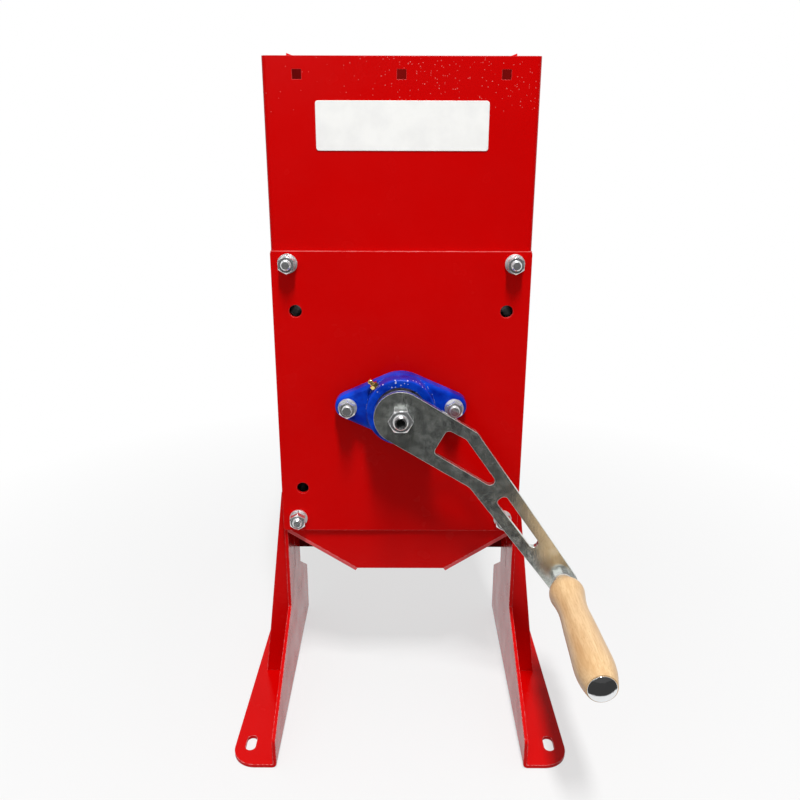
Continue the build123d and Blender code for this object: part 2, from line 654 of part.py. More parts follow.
with BuildPart() as front_grease_nipple:
    with BuildSketch(radial_plane(OUTER_RING_RADIUS + SIDE_GAP)):
        Circle(NIPPLE_RADIUS - FIT)
    extrude(amount=nipple_seat - OUTER_RING_RADIUS)
    with BuildSketch(radial_plane(nipple_seat + SIDE_GAP)):
        RegularPolygon(NIPPLE_HEX / 2, 6, major_radius=False)
    extrude(amount=NIPPLE_LENGTH / 3)
    with BuildSketch(radial_plane(nipple_seat + SIDE_GAP + NIPPLE_LENGTH / 3)):
        Circle(NIPPLE_RADIUS)
    extrude(amount=NIPPLE_LENGTH / 3, taper=NIPPLE_TAPER)
    with Locations(radial_plane(nipple_seat + SIDE_GAP + NIPPLE_LENGTH * 2 / 3).location):
        Sphere(NIPPLE_RADIUS)
save(front_grease_nipple, "front_grease_nipple")
save(rear_copy(front_grease_nipple), "rear_grease_nipple")

flange_face = half_depth + FLANGE_THICKNESS
flange_nut_seat = flange_face + WASHER_THICKNESS
for name, shape in (
    ("bearing_studs", washer(inner_half, TIE_RADIUS, flange_nut_seat + M8_NUT[1] + BOLT_OUT - inner_half)),
    ("bearing_washers", washer(flange_face, WASHER_RADIUS, WASHER_THICKNESS, TIE_RADIUS + FIT)),
    ("bearing_nuts", hex_nut(flange_nut_seat, M8_NUT, TIE_RADIUS + FIT, NUT_TURN)),
):
    front_pair = copies(shape, flange_spots)
    save(front_pair, "front_" + name)
    save(rear_copy(front_pair), "rear_" + name)

# ---------------------------------------------------------------- shaft and drum
tail_end = -ring_end - SHAFT_TAIL
stud_end = arm_front + M12_NUT[1] + STUD_END_OUT

with BuildPart() as drive_shaft:
    turned(SHAFT_AXIS, tail_end, arm_back - ARM_GAP / 2, SHAFT_RADIUS)
    with BuildSketch(ahead(arm_back - ARM_GAP / 2)):
        with Locations((0, AXIS_HEIGHT)):
            Circle(SHAFT_NECK_RADIUS)
            Rectangle(2 * SHAFT_NECK_RADIUS, SHAFT_NECK_FLATS, rotation=CRANK_ANGLE, mode=Mode.INTERSECT)
    extrude(amount=ARM_THICKNESS)
    turned(SHAFT_AXIS, arm_back, stud_end, STUD_END_RADIUS)
    chamfer(drive_shaft.faces().sort_by(Axis.Y)[0].edges(), SHAFT_CHAMFER)
    turned(SHAFT_AXIS, stud_end - STUD_RECESS_DEPTH, stud_end, STUD_RECESS_RADIUS, mode=Mode.SUBTRACT)
    chamfer(drive_shaft.faces().sort_by(Axis.Y)[-1].edges(), SHAFT_CHAMFER)
    with BuildSketch(Plane.XY.offset(AXIS_HEIGHT + SHAFT_RADIUS - KEY_WIDTH / 2)):
        SlotOverall(KEY_LENGTH, KEY_WIDTH, rotation=90)
    extrude(amount=KEY_WIDTH, mode=Mode.SUBTRACT)
save(drive_shaft, "drive_shaft")

with BuildPart() as drum_key:
    with BuildSketch(Plane.XY.offset(AXIS_HEIGHT + SHAFT_RADIUS - KEY_WIDTH / 2)):
        SlotOverall(KEY_LENGTH - 2 * FIT, KEY_WIDTH - 2 * FIT, rotation=90)
    extrude(amount=KEY_WIDTH)
save(drum_key, "drum_key")

tooth_step = radians(360 / DRUM_TEETH)
root_radius = DRUM_RADIUS - TOOTH_DEPTH
land = TOOTH_LAND / DRUM_RADIUS
tooth_points = []
for tooth in range(DRUM_TEETH):
    start = tooth * tooth_step
    for radius, angle in ((root_radius, start), (DRUM_RADIUS, start + land),
                          (DRUM_RADIUS, start + 2 * land), (root_radius, start + tooth_step - 3 * land)):
        tooth_points.append((radius * cos(angle), AXIS_HEIGHT + radius * sin(angle)))
groove_pitch = 2 * working_half / (DRUM_GROOVES + 1)

with BuildPart() as cracking_drum:
    with BuildSketch(ahead(-working_half)):
        with BuildLine():
            Polyline(*tooth_points, close=True)
        make_face()
        with Locations((0, AXIS_HEIGHT)):
            Circle(SHAFT_RADIUS + FIT, mode=Mode.SUBTRACT)
            with Locations((0, SHAFT_RADIUS)):
                Rectangle(KEY_WIDTH, KEY_WIDTH + 2 * FIT, mode=Mode.SUBTRACT)
    extrude(amount=2 * working_half)
    for groove in range(DRUM_GROOVES):
        middle = -working_half + (groove + 1) * groove_pitch
        turned(SHAFT_AXIS, middle - DRUM_GROOVE_WIDTH / 2, middle + DRUM_GROOVE_WIDTH / 2,
               DRUM_RADIUS + OVERRUN, DRUM_RADIUS - DRUM_GROOVE_DEPTH, mode=Mode.SUBTRACT)
save(cracking_drum, "cracking_drum")


def inner_ring():
    """Inner ring of the front bearing, with its long side ahead and two threaded holes for grub screws."""
    with BuildPart() as ring:
        with BuildSketch(SHAFT_PLANE):
            with Locations((ball_ahead - INNER_RING_SHORT, SHAFT_RADIUS + FIT)):
                Rectangle(INNER_RING_SHORT + INNER_RING_LONG, INNER_RING_RADIUS - SHAFT_RADIUS - FIT,
                          align=(Align.MIN, Align.MIN))
            with Locations((ball_ahead, BALL_PITCH_RADIUS)):
                Circle(BALL_RADIUS + RACE_GROOVE_PLAY, mode=Mode.SUBTRACT)
        revolve(axis=SHAFT_AXIS)
        for angle in grub_angles:
            with BuildSketch(grub_plane(angle)):
                Circle(GRUB_RADIUS + FIT)
            extrude(amount=2 * INNER_RING_RADIUS, mode=Mode.SUBTRACT)
    return ring


grub_angles = (30, 150)


def grub_plane(angle):
    """Sketch plane on the shaft's surface under a grub screw, facing out."""
    out = Vector(cos(radians(angle)), 0, sin(radians(angle)))
    centre = Vector(0, -(ring_end - GRUB_INSET), AXIS_HEIGHT)
    return Plane(origin=centre + out * (SHAFT_RADIUS + FIT), x_dir=(0, 1, 0), z_dir=out)


front_inner_ring = inner_ring()
save(front_inner_ring, "front_inner_ring")
save(rear_copy(front_inner_ring), "rear_inner_ring")

with BuildPart() as front_grub_screws:
    for angle in grub_angles:
        with BuildSketch(grub_plane(angle)):
            Circle(GRUB_RADIUS)
            RegularPolygon(GRUB_RADIUS / 2, 6, mode=Mode.SUBTRACT)
        extrude(amount=GRUB_LENGTH)
save(front_grub_screws, "front_grub_screws")
save(rear_copy(front_grub_screws), "rear_grub_screws")

# ---------------------------------------------------------------- crank arm
handle_from_shaft = Vector(handle_x, handle_z - AXIS_HEIGHT)
end_corners = [handle_from_shaft + Vector(ARM_END_REACH - ARM_END_CORNER, across).rotate(Axis.Z, ARM_END_ANGLE)
               for across in (ARM_END_ABOVE - ARM_END_CORNER, ARM_END_CORNER - ARM_END_BELOW)]

with BuildPart() as crank_arm:
    with BuildSketch(ahead(arm_back)):
        for ends, radius in (([(0, 0)], ARM_HUB_RADIUS), (end_corners, ARM_END_CORNER)):
            with BuildSketch(mode=Mode.PRIVATE) as limb:
                with BuildLine():
                    for end in ends:
                        CenterArc(end, radius, 0, 360)
                    Line(ELBOW_OUTER, ELBOW_INNER)
                make_hull()
            with Locations((0, AXIS_HEIGHT)):
                add(limb.sketch)
        with BuildSketch(mode=Mode.PRIVATE) as windows:
            for corners, radius in ((WINDOW, WINDOW_FILLET), (SLOT_WINDOW, SLOT_FILLET)):
                with BuildSketch(mode=Mode.PRIVATE) as window:
                    Polygon(*corners, align=None)
                    fillet(window.vertices(), radius)
                add(window.sketch)
        with Locations((0, AXIS_HEIGHT)):
            add(windows.sketch, mode=Mode.SUBTRACT)
            Circle(SHAFT_NECK_RADIUS + FIT, mode=Mode.SUBTRACT)
        with Locations((handle_x, handle_z)):
            Circle(AXLE_RADIUS + FIT, mode=Mode.SUBTRACT)
    extrude(amount=ARM_THICKNESS)
    elbow = crank_arm.edges().filter_by(Axis.Y).sort_by_distance(
        (ELBOW_OUTER[0], -arm_back - ARM_THICKNESS / 2, AXIS_HEIGHT + ELBOW_OUTER[1]))[0]
    fillet(elbow, ELBOW_FILLET)
save(crank_arm, "crank_arm")

crank_nut = copies(hex_nut(arm_front, M12_NUT, STUD_END_RADIUS + FIT), [(0, AXIS_HEIGHT)])
save(crank_nut, "crank_nut")

# ---------------------------------------------------------------- handle
handle_spot = [(handle_x, handle_z)]
lock_nut_face = arm_front + M8_NUT[1]
grip_start = lock_nut_face + WASHER_THICKNESS + SIDE_GAP
grip_end = grip_start + GRIP_LENGTH
recess = HEAD_THICKNESS - HEAD_OUT
head_back = grip_end - recess + SIDE_GAP
head_front = head_back + HEAD_THICKNESS
dish_rim = HEAD_RADIUS - 2 * HEAD_CHAMFER
dish_radius = (dish_rim ** 2 + HEAD_DISH ** 2) / (2 * HEAD_DISH)

with BuildPart() as handle_axle:
    turned(HANDLE_AXIS, arm_back - M8_NUT[1] - AXLE_TAIL, head_back, AXLE_RADIUS)
    turned(HANDLE_AXIS, head_back, head_front, HEAD_RADIUS)
    chamfer(handle_axle.edges().filter_by(lambda e: e.geom_type == GeomType.CIRCLE
                                          and e.radius > HEAD_RADIUS - FIT), HEAD_CHAMFER)
    with Locations((handle_x, -head_front - dish_radius + HEAD_DISH, handle_z)):
        Sphere(dish_radius, mode=Mode.SUBTRACT)
save(handle_axle, "handle_axle")

save(copies(hex_nut(arm_front, M8_NUT, AXLE_RADIUS + FIT, NUT_TURN), handle_spot), "handle_lock_nut")
save(copies(hex_nut(arm_back - M8_NUT[1], M8_NUT, AXLE_RADIUS + FIT, NUT_TURN), handle_spot), "handle_rear_nut")
save(copies(washer(lock_nut_face, WASHER_RADIUS, WASHER_THICKNESS, AXLE_RADIUS + FIT), handle_spot),
     "handle_washer")

with BuildPart() as wooden_grip:
    with BuildSketch(HANDLE_PLANE):
        with BuildLine():
            outside = [(grip_start + share * GRIP_LENGTH, radius) for share, radius in GRIP_RADII]
            Spline(*outside)
            Line(outside[-1], (grip_end, 0))
            Line((grip_end, 0), (grip_start, 0))
            Line((grip_start, 0), outside[0])
        make_face()
    revolve(axis=HANDLE_AXIS)
    turned(HANDLE_AXIS, grip_start, grip_end, AXLE_RADIUS + GRIP_BORE_PLAY, mode=Mode.SUBTRACT)
    turned(HANDLE_AXIS, grip_end - recess, grip_end, HEAD_RADIUS + SIDE_GAP, mode=Mode.SUBTRACT)
save(wooden_grip, "wooden_grip")
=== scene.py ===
import json
import math

import bpy
from mathutils import Matrix, Vector


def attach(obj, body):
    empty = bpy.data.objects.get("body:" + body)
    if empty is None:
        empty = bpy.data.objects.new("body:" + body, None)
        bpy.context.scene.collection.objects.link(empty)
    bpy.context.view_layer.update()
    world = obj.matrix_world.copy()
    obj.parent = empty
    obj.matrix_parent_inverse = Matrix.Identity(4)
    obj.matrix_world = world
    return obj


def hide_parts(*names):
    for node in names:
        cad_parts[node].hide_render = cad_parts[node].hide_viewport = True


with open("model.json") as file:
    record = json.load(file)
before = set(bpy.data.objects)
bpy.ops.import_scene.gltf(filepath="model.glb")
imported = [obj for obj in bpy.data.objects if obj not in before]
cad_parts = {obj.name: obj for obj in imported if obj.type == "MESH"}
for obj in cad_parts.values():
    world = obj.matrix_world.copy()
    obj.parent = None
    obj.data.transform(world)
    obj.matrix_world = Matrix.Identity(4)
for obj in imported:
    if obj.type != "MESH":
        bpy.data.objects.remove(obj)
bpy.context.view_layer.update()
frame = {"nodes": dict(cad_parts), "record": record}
NODES = frame["nodes"]
MM = 0.001

# Sizes shared with the CAD source, in metres
AXIS_HEIGHT = 284.0 * MM
INNER_HALF = 34.5 * MM          # front face of the hopper, ahead of the origin
TIE_X = 92.1 * MM
TIE_HEIGHTS = (403.2 * MM, 174.5 * MM)
FLANGE_BOLT_X = 45.0 * MM
CRANK_ANGLE = math.radians(-46.4)
CRANK_RADIUS = 203.0 * MM
HANDLE_CENTRE = (CRANK_RADIUS * math.cos(CRANK_ANGLE), AXIS_HEIGHT + CRANK_RADIUS * math.sin(CRANK_ANGLE))
AXLE_RADIUS = 4.0 * MM
AXLE_TAIL_END = -63.0 * MM
HEAD_RADIUS = 10.6 * MM         # domed head, standing on the end of the grip
HEAD_NECK = 9.9 * MM            # of its part within the grip's recess
HEAD_BACK = -217.4 * MM
HEAD_SEAT = -219.85 * MM
HEAD_FRONT = -223.0 * MM
HEAD_FLAT = 1.5 * MM            # nearly flat middle of the domed head
HEAD_ROUND = 2.4 * MM
HEAD_SWELL = 0.25 * MM
HEAD_STEPS = 24
M8_RADIUS, M8_PITCH = 4.0 * MM, 1.25 * MM
M12_RADIUS, M12_PITCH = 6.0 * MM, 1.75 * MM
THREAD_PROUD = 0.25 * MM
THREAD_SUNK = 0.15 * MM
RIDGE_HALF = 0.3                # half of a thread's ridge, in pitches

# Where threads show, from start to end along Y
TIE_THREAD = (-47.7 * MM, -49.8 * MM)
FRONT_STUD_THREAD = (-57.7 * MM, -60.2 * MM)
REAR_STUD_THREAD = (57.7 * MM, 60.2 * MM)
SHAFT_THREAD = (-86.1 * MM, -88.6 * MM)

# Where finishes, painted highlights and painted shade change, as pairs of places between which they fade
MARK_HEIGHTS = (0.512, 0.548)           # pale marks on the hopper, near its rim
MARK_SIDES = (-0.075, 0.03)
LEDGE_HIGHLIGHT_HEIGHTS = (0.409, 0.411)          # painted highlight on the plates' upper edges
CHIP_HEIGHTS = (0.20, 0.12)             # chipped edges, low on the legs
PAINTED_SHADE_HEIGHTS = (0.566, 0.563)          # painted shade, below the hopper back's raised corners
SHADE_RECESS_RADII = (3.9 * MM, 3.6 * MM)     # painted shade in the recess in the shaft's end
SHADE_RECESS_DEPTHS = (-85.5 * MM, -86 * MM)


# ---------------------------------------------------------------- camera
# 757 px focal length in the 800 px frame, 617 mm in front of the front plate.
CAMERA_PLACE = (0.0, -0.6545, 0.4910)
CAMERA_PITCH = 18.3
CAMERA_ROLL = 0.15
FOCAL_SHARE = 757 / 800
SENSOR = 36.0
CAMERA_SHIFT = -0.001
CAMERA_CLIP = (0.01, 50)

camera_data = bpy.data.cameras.new("camera")
camera_data.sensor_width = SENSOR
camera_data.lens = SENSOR * FOCAL_SHARE
camera_data.shift_x = CAMERA_SHIFT
camera_data.clip_start, camera_data.clip_end = CAMERA_CLIP
camera = bpy.data.objects.new("camera", camera_data)
bpy.context.scene.collection.objects.link(camera)
camera.location = CAMERA_PLACE
tilt = Matrix.Rotation(math.radians(90 - CAMERA_PITCH), 3, "X")
roll = Matrix.Rotation(math.radians(CAMERA_ROLL), 3, "Z")
camera.rotation_euler = (tilt @ roll).to_euler()
bpy.context.scene.camera = camera


# ---------------------------------------------------------------- node helpers
class Shader:
    """A material's node tree with short calls for the nodes that the finishes use."""

    def __init__(self, name):
        self.material = bpy.data.materials.new(name)
        self.material.use_nodes = True
        self.tree = self.material.node_tree
        self.tree.nodes.clear()
        self.output = self.tree.nodes.new("ShaderNodeOutputMaterial")
        self.coords = self.tree.nodes.new("ShaderNodeTexCoord").outputs["Object"]

    @classmethod
    def around(cls, material):
        """The same short calls for a material that exists."""
        made = cls.__new__(cls)
        made.material, made.tree = material, material.node_tree
        made.coords = made.tree.nodes.new("ShaderNodeTexCoord").outputs["Object"]
        return made

    def put(self, socket, value):
        if isinstance(value, bpy.types.NodeSocket):
            self.tree.links.new(value, socket)
        elif isinstance(value, tuple) and len(value) == 3 and socket.type == "RGBA":
            socket.default_value = (*value, 1.0)
        else:
            socket.default_value = value

    def node(self, kind, out=0, settings=None, **inputs):
        made = self.tree.nodes.new(kind)
        for key, value in (settings or {}).items():
            setattr(made, key, value)
        for key, value in inputs.items():
            index = int(key[1:]) if key[0] == "i" and key[1:].isdigit() else key.replace("_", " ")
            self.put(made.inputs[index], value)
        return made.outputs[out]

    def math(self, operation, a, b=0.0, clamp=False):
        return self.node("ShaderNodeMath", settings={"operation": operation, "use_clamp": clamp}, i0=a, i1=b)

    def vector(self, operation, a, b=(0.0, 0.0, 0.0), out=0):
        return self.node("ShaderNodeVectorMath", out=out, settings={"operation": operation}, i0=a, i1=b)

    def axis(self, index, vector=None):
        return self.node("ShaderNodeSeparateXYZ", out=index, i0=vector or self.coords)

    def noise(self, scale, detail=2.0, roughness=0.5, vector=None):
        return self.node("ShaderNodeTexNoise", Vector=vector or self.coords, Scale=scale, Detail=detail,
                         Roughness=roughness)

    def cells(self, scale, out=0):
        return self.node("ShaderNodeTexVoronoi", out=out, Vector=self.coords, Scale=scale)

    def stretched(self, x, y, z):
        return self.node("ShaderNodeMapping", Vector=self.coords, Scale=(x, y, z))

    def band(self, value, low, high, to_low=0.0, to_high=1.0):
        return self.node("ShaderNodeMapRange", Value=value, From_Min=low, From_Max=high, To_Min=to_low,
                         To_Max=to_high)

    def mix(self, share, a, b):
        return self.node("ShaderNodeMix", out=2, settings={"data_type": "RGBA"}, i0=share, i6=a, i7=b)

    def bump(self, height, distance, normal=None):
        inputs = {"Height": height, "Distance": distance, "Strength": 1.0}
        if normal is not None:
            inputs["Normal"] = normal
        return self.node("ShaderNodeBump", **inputs)

    def rounded(self, radius):
        return self.node("ShaderNodeBevel", settings={"samples": 4}, Radius=radius)

    def edges(self, radius, low=0.02, high=0.2):
        """1 along sharp edges within about a radius, 0 elsewhere."""
        true_normal = self.node("ShaderNodeNewGeometry", out=3)
        facing = self.vector("DOT_PRODUCT", self.rounded(radius), true_normal, out=1)
        return self.band(self.math("SUBTRACT", 1.0, facing), low, high)

    def specks(self, scale, share, size):
        """Scattered dots, in a share of the cells."""
        dot = self.math("LESS_THAN", self.cells(scale), size)
        chosen = self.math("LESS_THAN", self.axis(0, self.cells(scale, out=1)), share)
        return self.math("MULTIPLY", dot, chosen)

    def finish(self, **inputs):
        shader = self.node("ShaderNodeBsdfPrincipled", **inputs)
        self.tree.links.new(shader, self.output.inputs["Surface"])
        return self.material


def dress(material, *names):
    for name in names:
        slots = NODES[name].data.materials
        slots.clear()
        slots.append(material)


# ---------------------------------------------------------------- finishes, with painted highlights and painted shade
def red_powder_coat():
    s = Shader("red_powder_coat")
    peel = s.noise(620, detail=3)
    cloud = s.noise(9, detail=3)
    colour = s.mix(s.band(cloud, 0.3, 0.7), (0.505, 0.0002, 0.0002), (0.545, 0.0003, 0.0003))
    near_rim = s.math("MULTIPLY", s.band(s.axis(2), *MARK_HEIGHTS), s.band(s.axis(0), *MARK_SIDES, 0.12, 1.0))
    mark_cloud = s.band(s.noise(22, detail=2), 0.32, 0.62, 0.1, 0.75)
    rim_marks = s.specks(640, s.math("MULTIPLY", s.math("MULTIPLY", near_rim, mark_cloud), 0.62), 0.25)
    colour = s.mix(s.math("MULTIPLY", rim_marks, s.band(s.noise(500), 0.3, 0.7, 0.05, 0.34)), colour,
                   (0.85, 0.50, 0.46))
    # the plates' cut edges that face up are painted paler: a painted highlight where light falls on them
    faces_up = s.band(s.axis(2, s.node("ShaderNodeNewGeometry", out=3)), 0.90, 0.97)
    ledge_highlight = s.math("MULTIPLY", faces_up, s.band(s.axis(2), *LEDGE_HIGHLIGHT_HEIGHTS))
    colour = s.mix(s.math("MULTIPLY", ledge_highlight, s.band(s.noise(120, detail=2), 0.3, 0.6, 0.10, 0.40)), colour,
                   (0.80, 0.50, 0.48))
    # sheet edges are painted paler, a painted highlight along every edge, and chipped low on the legs
    edge = s.edges(0.0009, 0.04, 0.25)
    chips = s.math("MULTIPLY", s.band(s.noise(400, detail=1), 0.46, 0.56), s.band(s.axis(2), *CHIP_HEIGHTS))
    edge_highlight_and_chips = s.math("MULTIPLY", edge, s.band(chips, 0.0, 1.0, 0.18, 0.9))
    colour = s.mix(edge_highlight_and_chips, colour, (0.85, 0.38, 0.38))
    return s.finish(
        Base_Color=colour,
        Roughness=s.band(s.noise(40), 0.3, 0.7, 0.20, 0.28),
        IOR=1.17,
        Normal=s.bump(peel, 0.00003, normal=s.rounded(0.0007)))


def highlighted_front_coat(coat):
    """The coat of the chute's slopes: a painted highlight on the cut edges that face the operator."""
    material = coat.copy()
    material.name = "red_powder_coat_edge_highlight"
    shader = next(n for n in material.node_tree.nodes if n.type == "BSDF_PRINCIPLED")
    s = Shader.around(material)
    front_highlight = s.band(s.axis(1, s.node("ShaderNodeNewGeometry", out=3)), -0.8, -0.95, 0.0, 0.2)
    was = shader.inputs["Base Color"].links[0].from_socket
    s.put(shader.inputs["Base Color"], s.mix(front_highlight, was, (0.85, 0.40, 0.42)))
    return material


def painted_shade_coat(coat):
    """The coat of hopper_back and rear_plate: duller, with painted shade on the faces toward the operator.

    The painted shade makes what shows through the hopper's open holes dark."""
    material = coat.copy()
    material.name = "red_powder_coat_painted_shade"
    shader = next(n for n in material.node_tree.nodes if n.type == "BSDF_PRINCIPLED")
    s = Shader.around(material)
    inner = s.math("MULTIPLY", s.band(s.axis(1, s.node("ShaderNodeNewGeometry", out=3)), -0.2, -0.6),
                   s.band(s.axis(2), *PAINTED_SHADE_HEIGHTS))
    was = shader.inputs["Base Color"].links[0].from_socket
    # painted shade: near-black red on the inner faces, in place of the shade inside the hopper
    painted_shade_colour = s.mix(s.band(s.noise(35, detail=4), 0.35, 0.65), (0.08, 0.0005, 0.0005), (0.13, 0.0015, 0.001))
    s.put(shader.inputs["Base Color"], s.mix(inner, was, painted_shade_colour))
    rough = shader.inputs["Roughness"].links[0].from_socket
    s.put(shader.inputs["Roughness"], s.math("MAXIMUM", rough, s.math("MULTIPLY", inner, 0.7)))
    shader.inputs["IOR"].default_value = 1.07
    return material


def blue_enamel():
    s = Shader("blue_enamel")
    cast = s.noise(240, detail=4)
    worn_edge = s.math("MULTIPLY", s.edges(0.0010, 0.03, 0.2), s.band(s.noise(330, detail=2), 0.52, 0.58))
    # pale spots on top of the boss ring are painted highlights; the pale worn edges are chipped paint
    on_top = s.math("MULTIPLY", s.band(s.axis(2), AXIS_HEIGHT + 0.016, AXIS_HEIGHT + 0.020),
                    s.band(s.math("ABSOLUTE", s.axis(0)), 0.032, 0.022))
    boss_glint_spots = s.math("MULTIPLY", s.specks(400, 0.42, 0.24),
                   s.math("MULTIPLY", on_top, s.band(s.axis(1), -0.056, -0.058)))
    chips = s.math("MAXIMUM", s.math("MULTIPLY", worn_edge, 0.55), s.math("MULTIPLY", boss_glint_spots, 0.8))
    colour = s.mix(s.band(s.noise(60, detail=3), 0.35, 0.65), (0.0002, 0.014, 0.27), (0.0004, 0.055, 0.56))
    colour = s.mix(chips, colour, (0.62, 0.66, 0.74))
    return s.finish(
        Base_Color=colour,
        Roughness=0.24,
        IOR=1.28,
        Normal=s.bump(cast, 0.0005, normal=s.rounded(0.0010)))


def plain_metal(name, colour, roughness, grain=900, depth=0.00002, edge=0.0004, edge_light=0.0, metallic=1.0):
    s = Shader(name)
    mottle = s.noise(grain / 6, detail=4)
    # edges painted pale and less metallic: a painted highlight
    metal_edge_glint = s.math("MULTIPLY", s.edges(0.0008, 0.02, 0.2), edge_light)
    base = s.mix(s.band(mottle, 0.3, 0.7), tuple(0.85 * c for c in colour), colour)
    return s.finish(
        Base_Color=s.mix(metal_edge_glint, base, (0.95, 0.95, 0.95)),
        Metallic=s.math("SUBTRACT", metallic, s.math("MULTIPLY", metal_edge_glint, 0.8)),
        Roughness=s.band(mottle, 0.3, 0.7, roughness * 0.8, roughness * 1.2),
        Normal=s.bump(s.noise(grain, detail=3), depth, normal=s.rounded(edge)))


def arm_steel():
    s = Shader("arm_steel")
    mottle = s.noise(150, detail=6, roughness=0.7)
    stains = s.noise(28, detail=4, roughness=0.6)
    brushed = s.noise(1.0, detail=4, roughness=0.7, vector=s.stretched(900, 900, 90))
    colour = s.mix(s.band(mottle, 0.38, 0.62), (0.44, 0.47, 0.46), (0.74, 0.78, 0.74))
    colour = s.mix(s.band(stains, 0.35, 0.7), colour, (0.60, 0.63, 0.57))
    colour = s.mix(s.band(brushed, 0.5, 0.8, 0.0, 0.6), colour, (0.92, 0.94, 0.92))
    # edges painted pale and less metallic: a painted highlight all round the arm
    arm_edge_glint = s.edges(0.0008, 0.02, 0.2)
    return s.finish(
        Base_Color=s.mix(arm_edge_glint, colour, (0.88, 0.87, 0.84)),
        Metallic=s.math("SUBTRACT", s.band(mottle, 0.36, 0.64, 0.96, 0.89), s.math("MULTIPLY", arm_edge_glint, 0.7)),
        Roughness=s.band(mottle, 0.35, 0.65, 0.16, 0.26),
        Normal=s.bump(s.math("ADD", s.noise(700, detail=4), brushed), 0.00005, normal=s.rounded(0.0006)))


def shaft_steel():
    s = Shader("shaft_steel")
    mottle = s.noise(150, detail=4)
    off_axis = s.vector("LENGTH", s.vector("MULTIPLY", s.vector("SUBTRACT", s.coords, (0.0, 0.0, AXIS_HEIGHT)),
                                           (1.0, 0.0, 1.0)), out=1)
    # the recess in the shaft's end is painted near black: painted shade
    recess_shade = s.math("MULTIPLY", s.band(off_axis, *SHADE_RECESS_RADII), s.band(s.axis(1), *SHADE_RECESS_DEPTHS))
    colour = s.mix(s.band(mottle, 0.3, 0.7), (0.66, 0.66, 0.66), (0.80, 0.80, 0.80))
    return s.finish(
        Base_Color=s.mix(recess_shade, colour, (0.05, 0.055, 0.055)),
        Metallic=1.0,
        Roughness=0.24,
        Normal=s.bump(s.noise(900, detail=3), 0.00002, normal=s.rounded(0.0005)))


def seal_rubber():
    s = Shader("seal_rubber")
    return s.finish(
        Base_Color=(0.004, 0.004, 0.004),
        Roughness=s.band(s.noise(300), 0.3, 0.7, 0.55, 0.7),
        IOR=1.2,
        Normal=s.bump(s.noise(900), 0.00003))


KNOT = (129.6 * MM, -162.0 * MM, 143.0 * MM)     # small dark knot in the grip's surface


def beech():
    s = Shader("beech")
    fibres = s.noise(1.0, detail=5, roughness=0.65, vector=s.stretched(1100, 60, 1100))
    flecks = s.noise(1.0, detail=2, roughness=0.5, vector=s.stretched(1500, 240, 1500))
    rings = s.noise(1.0, detail=2, vector=s.stretched(150, 8, 150))
    colour = s.mix(s.band(rings, 0.35, 0.65), (0.60, 0.385, 0.185), (0.72, 0.51, 0.275))
    colour = s.mix(s.band(fibres, 0.42, 0.70, 0.0, 0.75), colour, (0.50, 0.285, 0.115))
    colour = s.mix(s.band(flecks, 0.62, 0.72, 0.0, 0.7), colour, (0.48, 0.26, 0.11))
    off_knot = s.vector("LENGTH", s.vector("SUBTRACT", s.coords, KNOT), out=1)
    colour = s.mix(s.band(off_knot, 1.0 * MM, 0.5 * MM, 0.0, 0.8), colour, (0.16, 0.07, 0.03))
    return s.finish(
        Base_Color=colour,
        Roughness=0.40,
        Normal=s.bump(fibres, 0.00006),
        Coat_Weight=0.15, Coat_Roughness=0.2)


def label_plastic():
    s = Shader("label_plastic")
    mottle = s.noise(70, detail=3)
    return s.finish(
        Base_Color=s.mix(s.band(mottle, 0.35, 0.65), (0.80, 0.80, 0.785), (0.85, 0.85, 0.83)),
        Roughness=0.4,
        IOR=1.3,
        Normal=s.bump(s.noise(45, detail=2), 0.0003))


def node_names(slot):
    return [m["node"] for m in frame["record"]["subparts"] if m.get("material_slot") == slot]


chrome = plain_metal("chrome", (0.86, 0.87, 0.88), 0.04, grain=260, depth=0.00012)
zinc = plain_metal("zinc", (0.86, 0.87, 0.88), 0.18, edge_light=0.9, metallic=0.90)
dull_zinc = plain_metal("dull_zinc", (0.88, 0.89, 0.90), 0.40, grain=1500, depth=0.0001, edge_light=0.4,
                        metallic=0.86)
steel = plain_metal("steel", (0.55, 0.55, 0.55), 0.30)
red = red_powder_coat()
dress(red, *node_names("red_paint"))
# hopper_back and rear_plate carry painted shade on their inner faces
dress(painted_shade_coat(red), "hopper_back", "rear_plate")
# the chute's slopes carry a painted highlight on their front cut edges
dress(highlighted_front_coat(red), "chute_slope_left", "chute_slope_right")
dress(blue_enamel(), *node_names("blue_casting"))
dress(zinc, *node_names("zinc"))
dress(dull_zinc, *(name for name in node_names("zinc") if "washer" in name))
dress(arm_steel(), *node_names("arm_steel"))
dress(steel, *node_names("steel"))
dress(shaft_steel(), "drive_shaft")
# jaws and drum are painted near black: painted shade, seen through the front plate's holes
dress(plain_metal("steel_painted_shade", (0.03, 0.03, 0.03), 0.5), "jaw_left", "jaw_right", "cracking_drum")
dress(chrome, *node_names("chrome"))
dress(plain_metal("brass", (0.92, 0.68, 0.24), 0.16), *node_names("brass"))
dress(seal_rubber(), *node_names("seal_rubber"))
dress(beech(), *node_names("beech"))


# ---------------------------------------------------------------- pieces
def piece(name, body, points, faces, material, smooth=True):
    """Mesh piece of the object, riding one body."""
    mesh = bpy.data.meshes.new(name)
    mesh.from_pydata(points, [], faces)
    mesh.materials.append(material)
    mesh.polygons.foreach_set("use_smooth", [smooth] * len(mesh.polygons))
    mesh.validate()
    made = bpy.data.objects.new(name, mesh)
    bpy.context.scene.collection.objects.link(made)
    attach(made, body)
    return made


